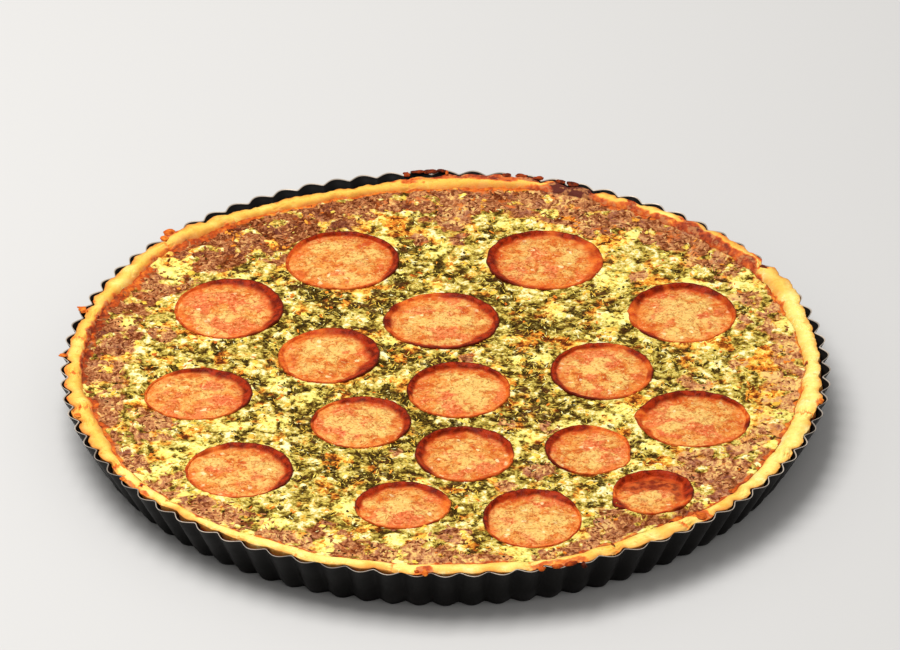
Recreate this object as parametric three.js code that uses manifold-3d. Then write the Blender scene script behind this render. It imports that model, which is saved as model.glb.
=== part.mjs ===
// An onion and sausage tart in the fluted tin it was baked in: tin, pastry case, set filling, and
// slices of sausage sunk in the top. Millimetres, +Z up, the tin standing on its flat base with
// the origin at the middle of the underside. Every piece keeps a small gap to its neighbours.
import * as THREE from 'three';
import { mergeVertices } from 'three/addons/utils/BufferGeometryUtils.js';
import { ParametricGeometry } from 'three/addons/geometries/ParametricGeometry.js';
import Module from 'manifold-3d';

const wasm = await Module();
wasm.setup();

// Tin: black coated sheet steel, its wall flared and pressed into upright flutes
const rimRadius = 140;
const baseRadius = 129;
const tinHeight = 20;
const sheetThickness = 0.8;
const fluteCount = 84;
const fluteDepth = 3;
const stepsPerFlute = 4;

// Pastry case: lines the tin, its rim pressed by hand and a little higher than the metal
const gap = 0.3;
const pastryFloor = 3.2;
const pastryCrest = 20.4;
const pastryShoulder = 1.8;
const pastryInnerRim = 131;
const pastryInnerFloor = 121;
const slumpAngle = THREE.MathUtils.degToRad(117);
const slumpSpread = THREE.MathUtils.degToRad(22);
const slumpDrop = 1.6;
const slumpInset = 2.6;
const pastryUnderside = sheetThickness + gap;
const pastryFloorTop = pastryUnderside + pastryFloor;

// Filling: set egg, cheese, onion and herbs, almost level with the pastry's rim
const fillingTop = 18.5;
const fillingEdge = 17.9;
const fillingSwell = 0.45;
const fillingSteps = 60;

// Sausage slices: discs whose skin has curled up as they baked, leaving a shallow dish
const sliceHeight = 4.6;
const sliceDish = 1.9;
const sliceSteps = 16;
const skinWidth = 0.16;
const sliceProud = 0.5;

// Where each slice lies: middle, width, depth, degrees of lean, and the way it leans
const slices = [
  { x: -37.9, y: 76.3, width: 42.0, depth: 39.4, lean: 1.5, towards: 250 },
  { x: 36.5, y: 77.7, width: 43.3, depth: 40.1, lean: 1.5, towards: 300 },
  { x: -79.2, y: 43.2, width: 40.2, depth: 40.3, lean: 2, towards: 220 },
  { x: 86.5, y: 40.2, width: 39.6, depth: 40.4, lean: 1.5, towards: 320 },
  { x: -1.2, y: 35.5, width: 42.4, depth: 38.0, lean: 1, towards: 270 },
  { x: -42.5, y: 11.9, width: 37.5, depth: 37.5, lean: 2, towards: 200 },
  { x: 56.9, y: 0.3, width: 37.8, depth: 38.2, lean: 1, towards: 280 },
  { x: -89.5, y: -15.4, width: 39.6, depth: 34.0, lean: 2, towards: 230 },
  { x: 4.8, y: -13.6, width: 37.9, depth: 37.0, lean: 1.5, towards: 240 },
  { x: 89.7, y: -31.9, width: 41.5, depth: 37.4, lean: 1.5, towards: 300 },
  { x: -30.5, y: -35.2, width: 36.5, depth: 33.7, lean: 1.5, towards: 230 },
  { x: 6.9, y: -55.5, width: 36.2, depth: 36.2, lean: 1, towards: 260 },
  { x: 51.4, y: -53.3, width: 31.8, depth: 33.5, lean: 2, towards: 10 },
  { x: -74.1, y: -67.7, width: 39.2, depth: 35.7, lean: 1.5, towards: 240 },
  { x: 74.5, y: -82.9, width: 29.6, depth: 32.3, lean: 3, towards: 100 },
  { x: -15.4, y: -90.2, width: 34.8, depth: 29.8, lean: 1.5, towards: 250 },
  { x: 31.1, y: -99.5, width: 36.0, depth: 37.6, lean: 1.5, towards: 280 },
];

const tinMaterial = new THREE.MeshStandardMaterial({
  color: 0x17181b, roughness: 0.38, metalness: 0.55,
});
const pastryMaterial = new THREE.MeshStandardMaterial({
  color: 0xf2c063, roughness: 0.75, metalness: 0,
});
const fillingMaterial = new THREE.MeshStandardMaterial({
  color: 0xb9a04a, roughness: 0.6, metalness: 0,
});
const sausageMaterial = new THREE.MeshStandardMaterial({
  color: 0xd9743a, roughness: 0.4, metalness: 0,
});

// Skins one closed body over rings that run from the middle of its underside, up its outside and
// in to the middle of its top. Each ring gives [radius, height] at an angle.
function ringedBody(rings, steps) {
  const last = rings.length - 1;
  const skin = new ParametricGeometry((around, along, point) => {
    const angle = 2 * Math.PI * around;
    const [radius, height] = rings[Math.round(along * last)](angle);
    point.set(radius * Math.cos(angle), radius * Math.sin(angle), height);
  }, steps, last);
  skin.deleteAttribute('normal');
  skin.deleteAttribute('uv');
  const body = mergeVertices(skin);
  body.computeVertexNormals();
  return body;
}

// How far in from the crest of a flute the wall lies: round lobes outside, sharp creases inside
function fluteInset(angle) {
  return fluteDepth * (1 - Math.abs(Math.cos((fluteCount * angle) / 2)));
}

// The outside of the tin's wall at a height
function tinWall(angle, height) {
  const flare = (rimRadius - baseRadius) * (height / tinHeight);
  return baseRadius + flare - fluteInset(angle);
}

function tinGeometry() {
  return ringedBody([
    () => [0, 0],
    (angle) => [tinWall(angle, 0), 0],
    (angle) => [tinWall(angle, tinHeight), tinHeight],
    (angle) => [tinWall(angle, tinHeight) - sheetThickness, tinHeight],
    (angle) => [tinWall(angle, sheetThickness) - sheetThickness, sheetThickness],
    () => [0, sheetThickness],
  ], fluteCount * stepsPerFlute);
}

// 1 where the pastry has slumped most from the metal, falling to 0 on either side
function slump(angle) {
  const away = Math.atan2(Math.sin(angle - slumpAngle), Math.cos(angle - slumpAngle));
  return Math.exp(-((away / slumpSpread) ** 2));
}

function pastryCrestHeight(angle) {
  const pressed = 0.3 * Math.sin(3 * angle + 1) + 0.2 * Math.sin(8 * angle + 2);
  return pastryCrest - slumpDrop * slump(angle) + pressed;
}

function pastryOuter(angle, height) {
  return tinWall(angle, height) - sheetThickness - gap;
}

// The inside of the pastry's wall, which slopes from the floor out to where the filling ends
function pastryInner(angle, height) {
  const climb = (height - pastryFloorTop) / (fillingEdge - pastryFloorTop);
  const pressed = 0.5 * Math.sin(5 * angle + 0.5) + 0.3 * Math.sin(11 * angle);
  const rim = pastryInnerRim + pressed - slumpInset * slump(angle);
  return pastryInnerFloor + (rim - pastryInnerFloor) * climb;
}

function pastryGeometry() {
  const shoulder = (angle) => pastryCrestHeight(angle) - pastryShoulder;
  const outerTop = (angle) => pastryOuter(angle, shoulder(angle)) - slumpInset * slump(angle);
  const across = (angle, share) => {
    const inner = pastryInner(angle, fillingEdge);
    return inner + share * (outerTop(angle) - inner);
  };
  return ringedBody([
    () => [0, pastryUnderside],
    (angle) => [pastryOuter(angle, pastryUnderside), pastryUnderside],
    (angle) => [outerTop(angle), shoulder(angle)],
    (angle) => [across(angle, 0.75), pastryCrestHeight(angle)],
    (angle) => [across(angle, 0.3), pastryCrestHeight(angle) - 0.4],
    (angle) => [across(angle, 0), fillingEdge],
    (angle) => [pastryInner(angle, pastryFloorTop), pastryFloorTop],
    () => [0, pastryFloorTop],
  ], fluteCount * 2);
}

// Height of the filling's top, which bakes in low swells
function fillingHeight(x, y) {
  const swell = Math.sin(x / 19 + 1) * Math.cos(y / 23) + 0.6 * Math.sin(x / 31 - y / 17);
  return fillingTop + fillingSwell * swell;
}

function fillingBody() {
  const bottom = pastryFloorTop + gap;
  const wall = (height) => (angle) => [pastryInner(angle, height) - 2 * gap, height];
  const top = (share) => (angle) => {
    const radius = share * pastryInner(angle, fillingEdge);
    return [radius, fillingHeight(radius * Math.cos(angle), radius * Math.sin(angle))];
  };
  return ringedBody([
    () => [0, bottom],
    wall(bottom),
    wall(fillingEdge - gap),
    top(0.98),
    top(0.55),
    top(0),
  ], fillingSteps);
}

// A slice with a radius of 1, so that scaling gives its width and depth. Its middle is at the rim.
function sliceGeometry() {
  return ringedBody([
    () => [0, -sliceHeight],
    () => [0.86, -sliceHeight],
    () => [1, -0.2],
    () => [0.96, 0],
    () => [1 - skinWidth, -0.6 * sliceDish],
    () => [0, -sliceDish],
  ], sliceSteps);
}

// The room that one slice takes in the filling, open upwards
function pocketGeometry(width, depth) {
  const pocket = ringedBody([
    () => [0, -sliceHeight - gap],
    () => [0.86, -sliceHeight - gap],
    () => [1, -0.2],
    () => [1, sliceHeight],
    () => [0, sliceHeight],
  ], sliceSteps);
  return pocket.scale(width / 2 + 2 * gap, depth / 2 + 2 * gap, 1);
}

// Puts an object where a slice lies, leaning over a level line square to the way it leans
function lay(object, { x, y, lean, towards }) {
  const way = THREE.MathUtils.degToRad(towards);
  const hinge = new THREE.Vector3(-Math.sin(way), Math.cos(way), 0);
  object.position.set(x, y, fillingHeight(x, y) + sliceProud);
  object.quaternion.setFromAxisAngle(hinge, THREE.MathUtils.degToRad(lean));
}

// Turns a closed geometry into a solid that can be cut
function solidOf(geometry) {
  return new wasm.Manifold(new wasm.Mesh({
    numProp: 3,
    vertProperties: geometry.attributes.position.array,
    triVerts: new Uint32Array(geometry.index.array),
  }));
}

function geometryOf(solid) {
  const { vertProperties, triVerts } = solid.getMesh();
  const geometry = new THREE.BufferGeometry();
  geometry.setAttribute('position', new THREE.BufferAttribute(vertProperties, 3));
  geometry.setIndex(new THREE.BufferAttribute(triVerts, 1));
  geometry.computeVertexNormals();
  return geometry;
}

function fillingGeometry() {
  let filling = solidOf(fillingBody());
  for (const slice of slices) {
    const pocket = new THREE.Mesh(pocketGeometry(slice.width, slice.depth));
    lay(pocket, slice);
    pocket.updateMatrix();
    filling = filling.subtract(solidOf(pocket.geometry.applyMatrix4(pocket.matrix)));
  }
  return geometryOf(filling);
}

function named(name, geometry, material) {
  const mesh = new THREE.Mesh(geometry, material);
  mesh.name = name;
  return mesh;
}

const tart = new THREE.Group();
tart.add(named('tin', tinGeometry(), tinMaterial));
tart.add(named('pastry_case', pastryGeometry(), pastryMaterial));
tart.add(named('filling', fillingGeometry(), fillingMaterial));

const topping = new THREE.Group();
slices.forEach((slice, index) => {
  const number = String(index + 1).padStart(2, '0');
  const disc = named(`sausage_slice_${number}`, sliceGeometry(), sausageMaterial);
  disc.geometry.scale(slice.width / 2, slice.depth / 2, 1);
  lay(disc, slice);
  topping.add(disc);
});
tart.add(topping);

export default tart;
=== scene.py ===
import math

import bmesh
import bpy
import numpy as np
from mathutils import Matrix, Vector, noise


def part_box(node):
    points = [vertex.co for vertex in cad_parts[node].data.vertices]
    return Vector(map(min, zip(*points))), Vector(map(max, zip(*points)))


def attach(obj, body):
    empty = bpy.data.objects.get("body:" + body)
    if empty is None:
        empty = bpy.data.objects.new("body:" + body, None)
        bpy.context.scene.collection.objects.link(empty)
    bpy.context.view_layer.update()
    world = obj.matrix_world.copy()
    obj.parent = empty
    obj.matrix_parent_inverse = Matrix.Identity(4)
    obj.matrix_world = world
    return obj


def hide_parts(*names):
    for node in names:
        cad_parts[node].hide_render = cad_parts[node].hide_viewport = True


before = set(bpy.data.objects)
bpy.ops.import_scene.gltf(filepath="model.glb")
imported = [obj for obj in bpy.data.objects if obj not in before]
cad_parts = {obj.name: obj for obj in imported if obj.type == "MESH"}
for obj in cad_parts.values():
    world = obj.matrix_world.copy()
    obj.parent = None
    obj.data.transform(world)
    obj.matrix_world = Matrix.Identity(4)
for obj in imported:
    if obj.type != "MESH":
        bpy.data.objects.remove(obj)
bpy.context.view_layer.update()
scene = bpy.context.scene
mm = 0.001


# Camera: a very long lens in front of the tart and well above it, so that the round rim keeps
# one outline across the whole view. It is moved sideways and up to frame the tart, not turned.
rim_depth_to_width = 0.5254
view_width = 326.8 * mm
aim_right = 1.67 * mm
aim_up = 16 * mm
rim_level = 20 * mm

lens = bpy.data.cameras.new("lens")
lens.lens = 600
lens.sensor_width = 36
lens.clip_start = 0.1
lens.clip_end = 50
look_down = math.asin(rim_depth_to_width)
stand_off = view_width * lens.lens / lens.sensor_width
camera = bpy.data.objects.new("camera", lens)
camera.rotation_euler = (math.pi / 2 - look_down, 0, 0)
camera.location = (
    aim_right,
    aim_up * math.sin(look_down) - stand_off * math.cos(look_down),
    rim_level + aim_up * math.cos(look_down) + stand_off * math.sin(look_down),
)
scene.collection.objects.link(camera)
scene.camera = camera


# Tin: thin sheet steel with a black baked coating, pressed into a flat base and a flared wall
# of upright round flutes with a sharp crease between each two. The cut edge at the top is bare,
# and its pale line is partly a painted highlight.
tin_low, tin_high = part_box("tin")
rim_radius = (tin_high.x - tin_low.x) / 2
tin_height = tin_high.z
wall_flare = 11 * mm
base_radius = rim_radius - wall_flare
sheet = 0.8 * mm
flute_count = 84
flute_depth = 3 * mm
steps_per_flute = 14
crease_softness = 0.015
lobe_power = 0.55
base_bend = 1.6 * mm
flat_radius = 124 * mm
guide_radius = 100 * mm
weld = 0.01 * mm
bare_edge = 0.2 * mm
fading_edge = 0.34 * mm


def shade(red, green, blue):
    """A colour as seen, 0 to 255, made linear."""
    seen = np.array([red, green, blue]) / 255
    linear = np.where(seen <= 0.04045, seen / 12.92, ((seen + 0.055) / 1.055) ** 2.4)
    return (*linear.tolist(), 1.0)


class Wire:
    """A socket of a node tree. Sums written on it add the Math nodes that work them out."""

    def __init__(self, recipe, socket):
        self.recipe = recipe
        self.socket = socket

    def other(self, name):
        """Another output of the same node."""
        return Wire(self.recipe, self.socket.node.outputs[name])

    def __add__(self, value):
        return self.recipe.sum("ADD", self, value)

    __radd__ = __add__

    def __sub__(self, value):
        return self.recipe.sum("SUBTRACT", self, value)

    def __rsub__(self, value):
        return self.recipe.sum("SUBTRACT", value, self)

    def __mul__(self, value):
        return self.recipe.sum("MULTIPLY", self, value)

    __rmul__ = __mul__

    def __truediv__(self, value):
        return self.recipe.sum("DIVIDE", self, value)

    def __rtruediv__(self, value):
        return self.recipe.sum("DIVIDE", value, self)


class Recipe:
    """A node tree being built up, for a surface or for a shape."""

    def __init__(self, tree):
        self.tree = tree

    def join(self, socket, value):
        """Links a wire to a socket, or sets the socket's own value."""
        if isinstance(value, Wire):
            self.tree.links.new(value.socket, socket)
        else:
            socket.default_value = value

    def add(self, kind, sockets=None, out=0, stops=None, **settings):
        """Adds a node of any kind: settings first, then the values or wires of its sockets."""
        node = self.tree.nodes.new(kind)
        for name, value in settings.items():
            setattr(node, name, value)
        if stops:
            ramp = node.color_ramp.elements
            ramp.remove(ramp[-1])
            ramp[0].position, ramp[0].color = stops[0]
        for place, colour in (stops or [])[1:]:
            ramp.new(place).color = colour
        for name, value in (sockets or {}).items():
            self.join(node.inputs[name], value)
        return Wire(self, node.outputs[out]) if len(node.outputs) else node

    def sum(self, operation, first, second):
        return self.add("ShaderNodeMath", {0: first, 1: second}, operation=operation)

    def rise(self, value, low, high):
        """0 below low, 1 above high and a soft rise between."""
        limits = {"Value": value, "From Min": low, "From Max": high}
        return self.add("ShaderNodeMapRange", limits, interpolation_type="SMOOTHSTEP")

    def mix(self, share, first, second):
        """Two colours mixed."""
        return self.add("ShaderNodeMix", {0: share, 6: first, 7: second}, out=2, data_type="RGBA")

    def ramp(self, value, *stops):
        """Colours read off a scale, whose stops are each (place, red, green, blue)."""
        colours = [(place, shade(*colour)) for place, *colour in stops]
        return self.add("ShaderNodeValToRGB", {0: value}, stops=colours)

    def vector(self, operation, first, second):
        """Sums on a place or a way. To SCALE it the second is a number, otherwise a vector."""
        sockets = {0: first, "Scale" if operation == "SCALE" else 1: second}
        return self.add("ShaderNodeVectorMath", sockets, operation=operation)

    def coordinates(self):
        return self.add("ShaderNodeTexCoord", out="Object")

    def painted(self, name):
        """A value stored on the mesh."""
        return self.add("ShaderNodeAttribute", out="Fac", attribute_name=name)

    def noise(self, place, size, detail=3.0, roughness=0.5):
        """Cloudy unevenness, 0 to 1, with bumps about this many metres across."""
        sockets = {"Vector": place, "Scale": 0.6 / size, "Detail": detail, "Roughness": roughness}
        return self.add("ShaderNodeTexNoise", sockets)

    def wavering(self, place, scale, reach):
        """A place moved a little to and fro, so that what is read there has no straight lines."""
        sway = self.add("ShaderNodeTexNoise", {"Vector": place, "Scale": scale}, out="Color")
        return self.vector("ADD", place, self.vector("SCALE", sway, reach))

    def grains(self, place, size, largest, smallest, rarest, surest):
        """Round grains in some of the cells of a pattern of this size."""
        cells = self.add("ShaderNodeTexVoronoi", {"Vector": place, "Scale": 1 / size})
        kind = self.add("ShaderNodeSeparateColor", {0: cells.other("Color")})
        return self.rise(cells, largest, smallest) * self.rise(kind, rarest, surest)

    def bump(self, height, strength, distance):
        sockets = {"Height": height, "Strength": strength, "Distance": distance}
        return self.add("ShaderNodeBump", sockets)

    def surface(self, **sockets):
        """Joins values to the finish's own shader, its sockets named with _ for a space."""
        shader = self.tree.nodes["Principled BSDF"]
        for name, value in sockets.items():
            self.join(shader.inputs[name.replace("_", " ")], value)


def new_finish(name):
    """A material, and the recipe that its nodes are built by."""
    finish = bpy.data.materials.new(name)
    finish.use_nodes = True
    return finish, Recipe(finish.node_tree)


def new_tree(name, inputs):
    """A shape tree with a mesh in and out. Returns its recipe and its inputs by name."""
    tree = bpy.data.node_groups.new(name, "GeometryNodeTree")
    tree.interface.new_socket("Mesh", in_out="OUTPUT", socket_type="NodeSocketGeometry")
    for label, kind in {"Mesh": "Geometry", **inputs}.items():
        tree.interface.new_socket(label, in_out="INPUT", socket_type="NodeSocket" + kind)
    recipe = Recipe(tree)
    start = recipe.add("NodeGroupInput")
    return recipe, {label: start.other(label) for label in ["Mesh", *inputs]}


def grow(name, mesh, recipe, sizes):
    """Runs a shape tree on a mesh, and returns what it makes as a plain mesh piece."""
    piece = bpy.data.objects.new(name, mesh)
    scene.collection.objects.link(piece)
    modifier = piece.modifiers.new(name, "NODES")
    modifier.node_group = recipe.tree
    for socket in recipe.tree.interface.items_tree:
        if socket.in_out == "INPUT" and socket.name in sizes:
            modifier[socket.identifier] = sizes[socket.name]
    grown = piece.evaluated_get(bpy.context.evaluated_depsgraph_get())
    plain = bpy.data.meshes.new_from_object(grown)
    piece.modifiers.remove(modifier)
    piece.data = plain
    plain.materials.clear()
    plain.materials.append(sizes["Material"])
    plain.polygons.foreach_set("material_index", [0] * len(plain.polygons))
    # What was painted on the mesh it grew from is left off, apart from each bit's own tone
    for label in [layer.name for layer in mesh.attributes if not layer.is_required]:
        if label != "tone" and label in plain.attributes:
            plain.attributes.remove(plain.attributes[label])
    return piece


coating, coat = new_finish("black_baked_coating")
place = coat.coordinates()
height = coat.add("ShaderNodeSeparateXYZ", {0: place}, out="Z")
smears = coat.noise(place, 9 * mm, detail=5)
worn = coat.rise(coat.noise(place, 22 * mm), 0.3, 0.62)
# The pale line along the cut edge: bare steel, and partly a painted highlight
near_top = coat.rise(height, tin_height - fading_edge, tin_height - bare_edge)
bare_and_highlit_edge = (0.45 + 0.55 * worn) * near_top
grain = coat.noise(place, 0.5 * mm, detail=2)
black = coat.mix(smears, shade(4, 3, 2), shade(14, 11, 9))
coat.surface(
    Base_Color=coat.mix(bare_and_highlit_edge, black, shade(206, 192, 176)),
    Metallic=bare_and_highlit_edge * 0.4,
    Roughness=0.58 - 0.18 * coat.rise(smears, 0.4, 0.65),
    Specular_IOR_Level=0.16,
    Normal=coat.bump(grain, 0.12, 0.2 * mm),
)

pressing, given = new_tree("pressed_tin", {
    "Guide Radius": "Float",
    "Flutes": "Int",
    "Flute Depth": "Float",
    "Steps": "Int",
    "Flat Radius": "Float",
    "Full Radius": "Float",
    "Material": "Material",
})
section = pressing.add("GeometryNodeMeshToCurve", {"Mesh": given["Mesh"]})
guide = pressing.add("GeometryNodeCurvePrimitiveCircle", {
    "Resolution": given["Steps"], "Radius": given["Guide Radius"],
})
spun = pressing.add("GeometryNodeCurveToMesh", {"Curve": guide, "Profile Curve": section})
point = pressing.add("GeometryNodeInputPosition")
parts = pressing.add("ShaderNodeSeparateXYZ", {0: point})
turn = pressing.sum("ARCTAN2", parts.other("Y"), parts)
distance = pressing.add("ShaderNodeVectorMath", {0: point}, out="Value", operation="LENGTH")
lobe = pressing.sum("COSINE", turn * given["Flutes"] / 2, 0)
crease = 1 - pressing.sum("POWER", lobe * lobe + crease_softness, lobe_power)
pressed = pressing.rise(distance, given["Flat Radius"], given["Full Radius"])
level_way = pressing.vector("MULTIPLY", point, (1, 1, 0))
outwards = pressing.add("ShaderNodeVectorMath", {0: level_way}, operation="NORMALIZE")
inset = pressing.vector("SCALE", outwards, -1 * crease * pressed * given["Flute Depth"])
fluted = pressing.add("GeometryNodeSetPosition", {"Geometry": spun, "Offset": inset})
joined = pressing.add("GeometryNodeMergeByDistance", {"Geometry": fluted, "Distance": weld})
smooth = pressing.add("GeometryNodeSetShadeSmooth", {"Geometry": joined})
real = pressing.add("GeometryNodeRealizeInstances", {"Geometry": smooth})
coated = pressing.add("GeometryNodeSetMaterial", {
    "Geometry": real, "Material": given["Material"],
})
pressing.add("NodeGroupOutput", {0: coated})

bend_angles = [math.radians(degrees) for degrees in range(-90, -19, 14)]


def bend(radius):
    """The bend from the base to the wall, as (radius, height)."""
    return [(base_radius - base_bend + radius * math.cos(angle),
             base_bend + radius * math.sin(angle)) for angle in bend_angles]


# The tin's section: under the base, up the outside, over the cut edge and down the inside
base_rings = [0, 60 * mm, 110 * mm, 122 * mm]
wall_shares = [0.2, 0.4, 0.6, 0.8, 0.93, 0.985]
# Over the cut edge: how far inwards and how far down, in mm
cut_points = [(0.04, 0.08), (0.14, 0), (0.3, 0.03), (0.55, 0.3), (0.8, 0.9)]
wall = [(base_radius + wall_flare * share, tin_height * share) for share in wall_shares]
tin_section = [(radius, 0) for radius in base_rings] + bend(base_bend) + wall
tin_section += [(rim_radius - inwards * mm, tin_height - down * mm) for inwards, down in cut_points]
tin_section += [(radius - sheet, level) for radius, level in wall[-2::-1]]
tin_section += bend(base_bend - sheet)[::-1]
tin_section += [(base_rings[ring], sheet) for ring in (3, 1, 0)]
# Beside the guide ring a section's x is how far out it lies, and its y is how far down
section_wire = bpy.data.meshes.new("tin_section")
section_wire.from_pydata(
    [(radius - guide_radius, -level, 0) for radius, level in tin_section],
    [(step, step + 1) for step in range(len(tin_section) - 1)],
    [],
)
tin_shell = grow("tin_shell", section_wire, pressing, {
    "Guide Radius": guide_radius,
    "Flutes": flute_count,
    "Flute Depth": flute_depth,
    "Steps": flute_count * steps_per_flute,
    "Flat Radius": flat_radius,
    "Full Radius": base_radius - 0.5 * mm,
    "Material": coating,
})
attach(tin_shell, "root")
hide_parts("tin")


# Pastry case: short pastry rolled out, pressed into the tin by hand and baked with its filling.
# Its rim has shrunk a little from the flutes, and at the back left it has slumped right inwards.
case_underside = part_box("pastry_case")[0].z
case_floor = case_underside + 3.2 * mm
crest_level = 20.5 * mm
lip_drop = 0.45 * mm
shoulder_drop = 2.8 * mm
filling_edge = 18.8 * mm
brim_drop = 1.2 * mm
inner_floor = 121 * mm
narrowest_inside = 128.2 * mm
widest_inside = 131.6 * mm
gap = 0.35 * mm
flute_trace = 0.3
slump_middle = 112
slump_spread = 21
slump_drop = 1.5 * mm
steps_round = flute_count * 15
hidden_radius = 60 * mm
rise_steps = 26
# Round from the right, every 15 degrees: how far out the rim reaches, in mm
outer_edges = [
    135.9, 136.7, 138.9, 137.5, 136.6, 137.8, 136.6, 133.6, 134.7, 137.8, 136.9, 137.0,
    138.1, 137.4, 137.2, 136.6, 136.4, 137.4, 137.3, 138.4, 137.3, 138.0, 137.3, 136.9,
]
# In the same steps, how dark the filling's edge has baked where it meets the rim
edge_darkness = [
    0.38, 0.36, 0.6, 0.62, 0.5, 0.5, 0.42, 0.4, 0.42, 0.6, 0.55, 0.7,
    0.72, 0.55, 0.45, 0.5, 0.42, 0.66, 0.45, 0.6, 0.5, 0.6, 0.55, 0.45,
]
# In the same steps, how toasted the rim is
toasting = [
    0.15, 0.15, 0.55, 0.75, 0.8, 1.0, 1.15, 1.05, 1.0, 0.95, 0.8, 0.8,
    0.95, 0.85, 0.55, 0.3, 0.25, 0.3, 0.4, 0.5, 0.55, 0.65, 0.35, 0.2,
]
# Every 10 degrees: where the pale pastry gives way to the browned filling, in mm from the middle
pale_starts = [
    130.5, 130.6, 131.4, 132.6, 135.6, 135.4, 133.4, 138.5, 130.5, 129.0, 129.4, 129.0,
    129.6, 130.3, 133.5, 130.8, 133.3, 133.2, 132.8, 130.8, 129.8, 133.0, 132.3, 133.0,
    130.3, 131.3, 131.3, 130.5, 130.5, 132.0, 129.0, 130.5, 131.8, 130.5, 129.3, 129.5,
]
# Single steps in the outer edge: where and how wide in degrees, and how far outwards in mm
edge_steps = [
    (24, 4.5, 1.2), (31.5, 1.3, -1.8), (66, 1.2, -0.8), (137.5, 1.6, 0.8), (191, 0.7, -1.0),
    (209, 1.6, -0.9), (216, 4, 0.8), (250, 3, 1.2), (265.5, 2.5, 1.4), (289, 3.5, 1.2),
    (305, 3, 1.0), (347, 2, -0.7), (350.5, 2, 1.2),
]
# Steps in where the pale pastry ends, given the same way
pale_steps = [
    (34.5, 2.8, 3.0), (48.5, 1.6, 1.6), (59.5, 1.0, 1.8), (63, 2.0, -1.6), (126, 3.0, 0.8),
    (190, 3.0, -0.8), (229, 2.5, 1.6), (286, 4.0, 1.8), (298, 2.5, 1.2), (317, 4.0, 1.0),
]
# Cracks across the rim: where, how deep in mm, and how wide in degrees
cracks = [
    (191, 1.5, 0.45), (195.7, 0.8, 0.4), (181, 0.8, 0.5), (163, 0.5, 0.5), (209, 1.2, 0.8),
    (216, 0.7, 0.5), (222, 0.5, 0.4), (237, 0.6, 0.6), (247, 0.5, 0.4), (262, 0.8, 0.5),
    (283, 0.6, 0.5), (296.5, 0.7, 0.4), (303, 0.4, 0.5), (309, 0.8, 0.6), (322, 0.4, 0.4),
    (335, 0.6, 0.5), (347, 0.8, 0.6), (12, 0.4, 0.4), (31.5, 1.5, 0.7), (50, 0.7, 0.5),
    (59, 0.5, 0.4), (66, 0.9, 0.6), (96, 0.8, 0.6), (118, 0.5, 0.5), (128, 0.4, 0.4),
    (140, 0.7, 0.6), (150, 0.4, 0.4), (171, 0.5, 0.5),
]
# Where filling ran over the rim and burnt on: middle and spread in degrees, the radius in mm
# from which it covers the rim outwards, and how dark it is
overflows = [
    (35, 4, 137.6, 0.45), (42, 3, 137.6, 0.35), (49.5, 1.3, 135.4, 0.6), (59.5, 0.9, 134, 0.55),
    (69.5, 3.4, 0, 1.0), (76.5, 3, 135.3, 0.7), (82.5, 4, 133.4, 0.62), (88.5, 4, 134.2, 0.65),
    (91, 7, 133.6, 0.3), (95.5, 2.2, 131.5, 0.42), (137.3, 1.6, 136.6, 0.55),
    (162, 1.8, 136.3, 0.5), (176, 1.2, 137.4, 0.5), (184, 5, 137.6, 0.4), (216, 5, 136.3, 0.42),
    (267, 1.8, 134.6, 0.5), (287.5, 4, 135.2, 0.45), (312.5, 1.8, 130, 0.5),
    (350, 1.6, 136.4, 0.45),
]
# Small burnt spots: middle and radius in mm, and how dark
burnt_spots = [
    (130.9, 4.6, 1.6, 1.0), (116.9, 70.6, 2.0, 1.0), (-109.2, -79.4, 1.4, 0.9),
    (59.0, -118.2, 1.2, 0.9), (82.4, -100.0, 2.0, 1.0), (80.0, -102.6, 1.2, 0.8),
    (48.6, -129.0, 2.2, 0.6), (-132.9, 1.0, 1.2, 0.6), (-40.0, 129.0, 1.6, 0.6),
]


def lumps(points, size, seed):
    """Smooth unevenness from -1 to 1 at each point, with bumps about this many metres across."""
    spots = (points.reshape(-1, 3) / size + seed).tolist()
    return np.array([noise.noise(spot) for spot in spots]).reshape(points.shape[:-1])


def swell(value, low, high):
    """0 below low, 1 above high and a soft rise between."""
    share = np.clip((value - low) / (high - low), 0, 1)
    return share * share * (3 - 2 * share)


def hill(angle, middle, spread):
    """1 at one place round the rim, falling to 0 on either side. Middle and spread in degrees."""
    away = np.angle(np.exp(1j * (angle - math.radians(middle))))
    return np.exp(-((away / math.radians(spread)) ** 2))


def round_rim(values, at):
    """Values given at even steps round the rim, read at any angle."""
    steps = np.linspace(0, 2 * math.pi, len(values), endpoint=False)
    return np.interp(at % (2 * math.pi), steps, values, period=2 * math.pi)


def near(spots, patches):
    """How far each spot belongs to any of some round patches, 0 to 1 or a patch's own strength."""
    most = 0
    for x, y, radius, *rest in patches:
        strength = rest[0] if rest else 1.0
        away = np.hypot(spots[..., 0] - x * mm, spots[..., 1] - y * mm) / (radius * mm)
        most = np.maximum(most, strength * np.exp(-(away ** 2)))
    return most


def hoop(low, high, count):
    """Faces between two rings of points, each ring given by the number of its first point."""
    here = np.arange(count)
    after = (here + 1) % count
    return np.stack([low + here, low + after, high + after, high + here], 1).tolist()


def lid(ring, middle, count, facing_up=True):
    """Faces that close a ring of points to the point in its middle."""
    here = np.arange(count)
    after = (here + 1) % count
    first, second = (here, after) if facing_up else (after, here)
    return np.stack([ring + first, ring + second, 0 * here + middle], 1).tolist()


def new_piece(name, points, faces, finish, painted):
    """A smooth piece made of points and faces, with values painted on its points."""
    mesh = bpy.data.meshes.new(name)
    mesh.from_pydata(points.tolist(), [], faces)
    for label, values in painted.items():
        mesh.attributes.new(label, "FLOAT", "POINT").data.foreach_set("value", values)
    mesh.shade_smooth()
    mesh.materials.append(finish)
    piece = bpy.data.objects.new(name, mesh)
    scene.collection.objects.link(piece)
    return piece


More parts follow.
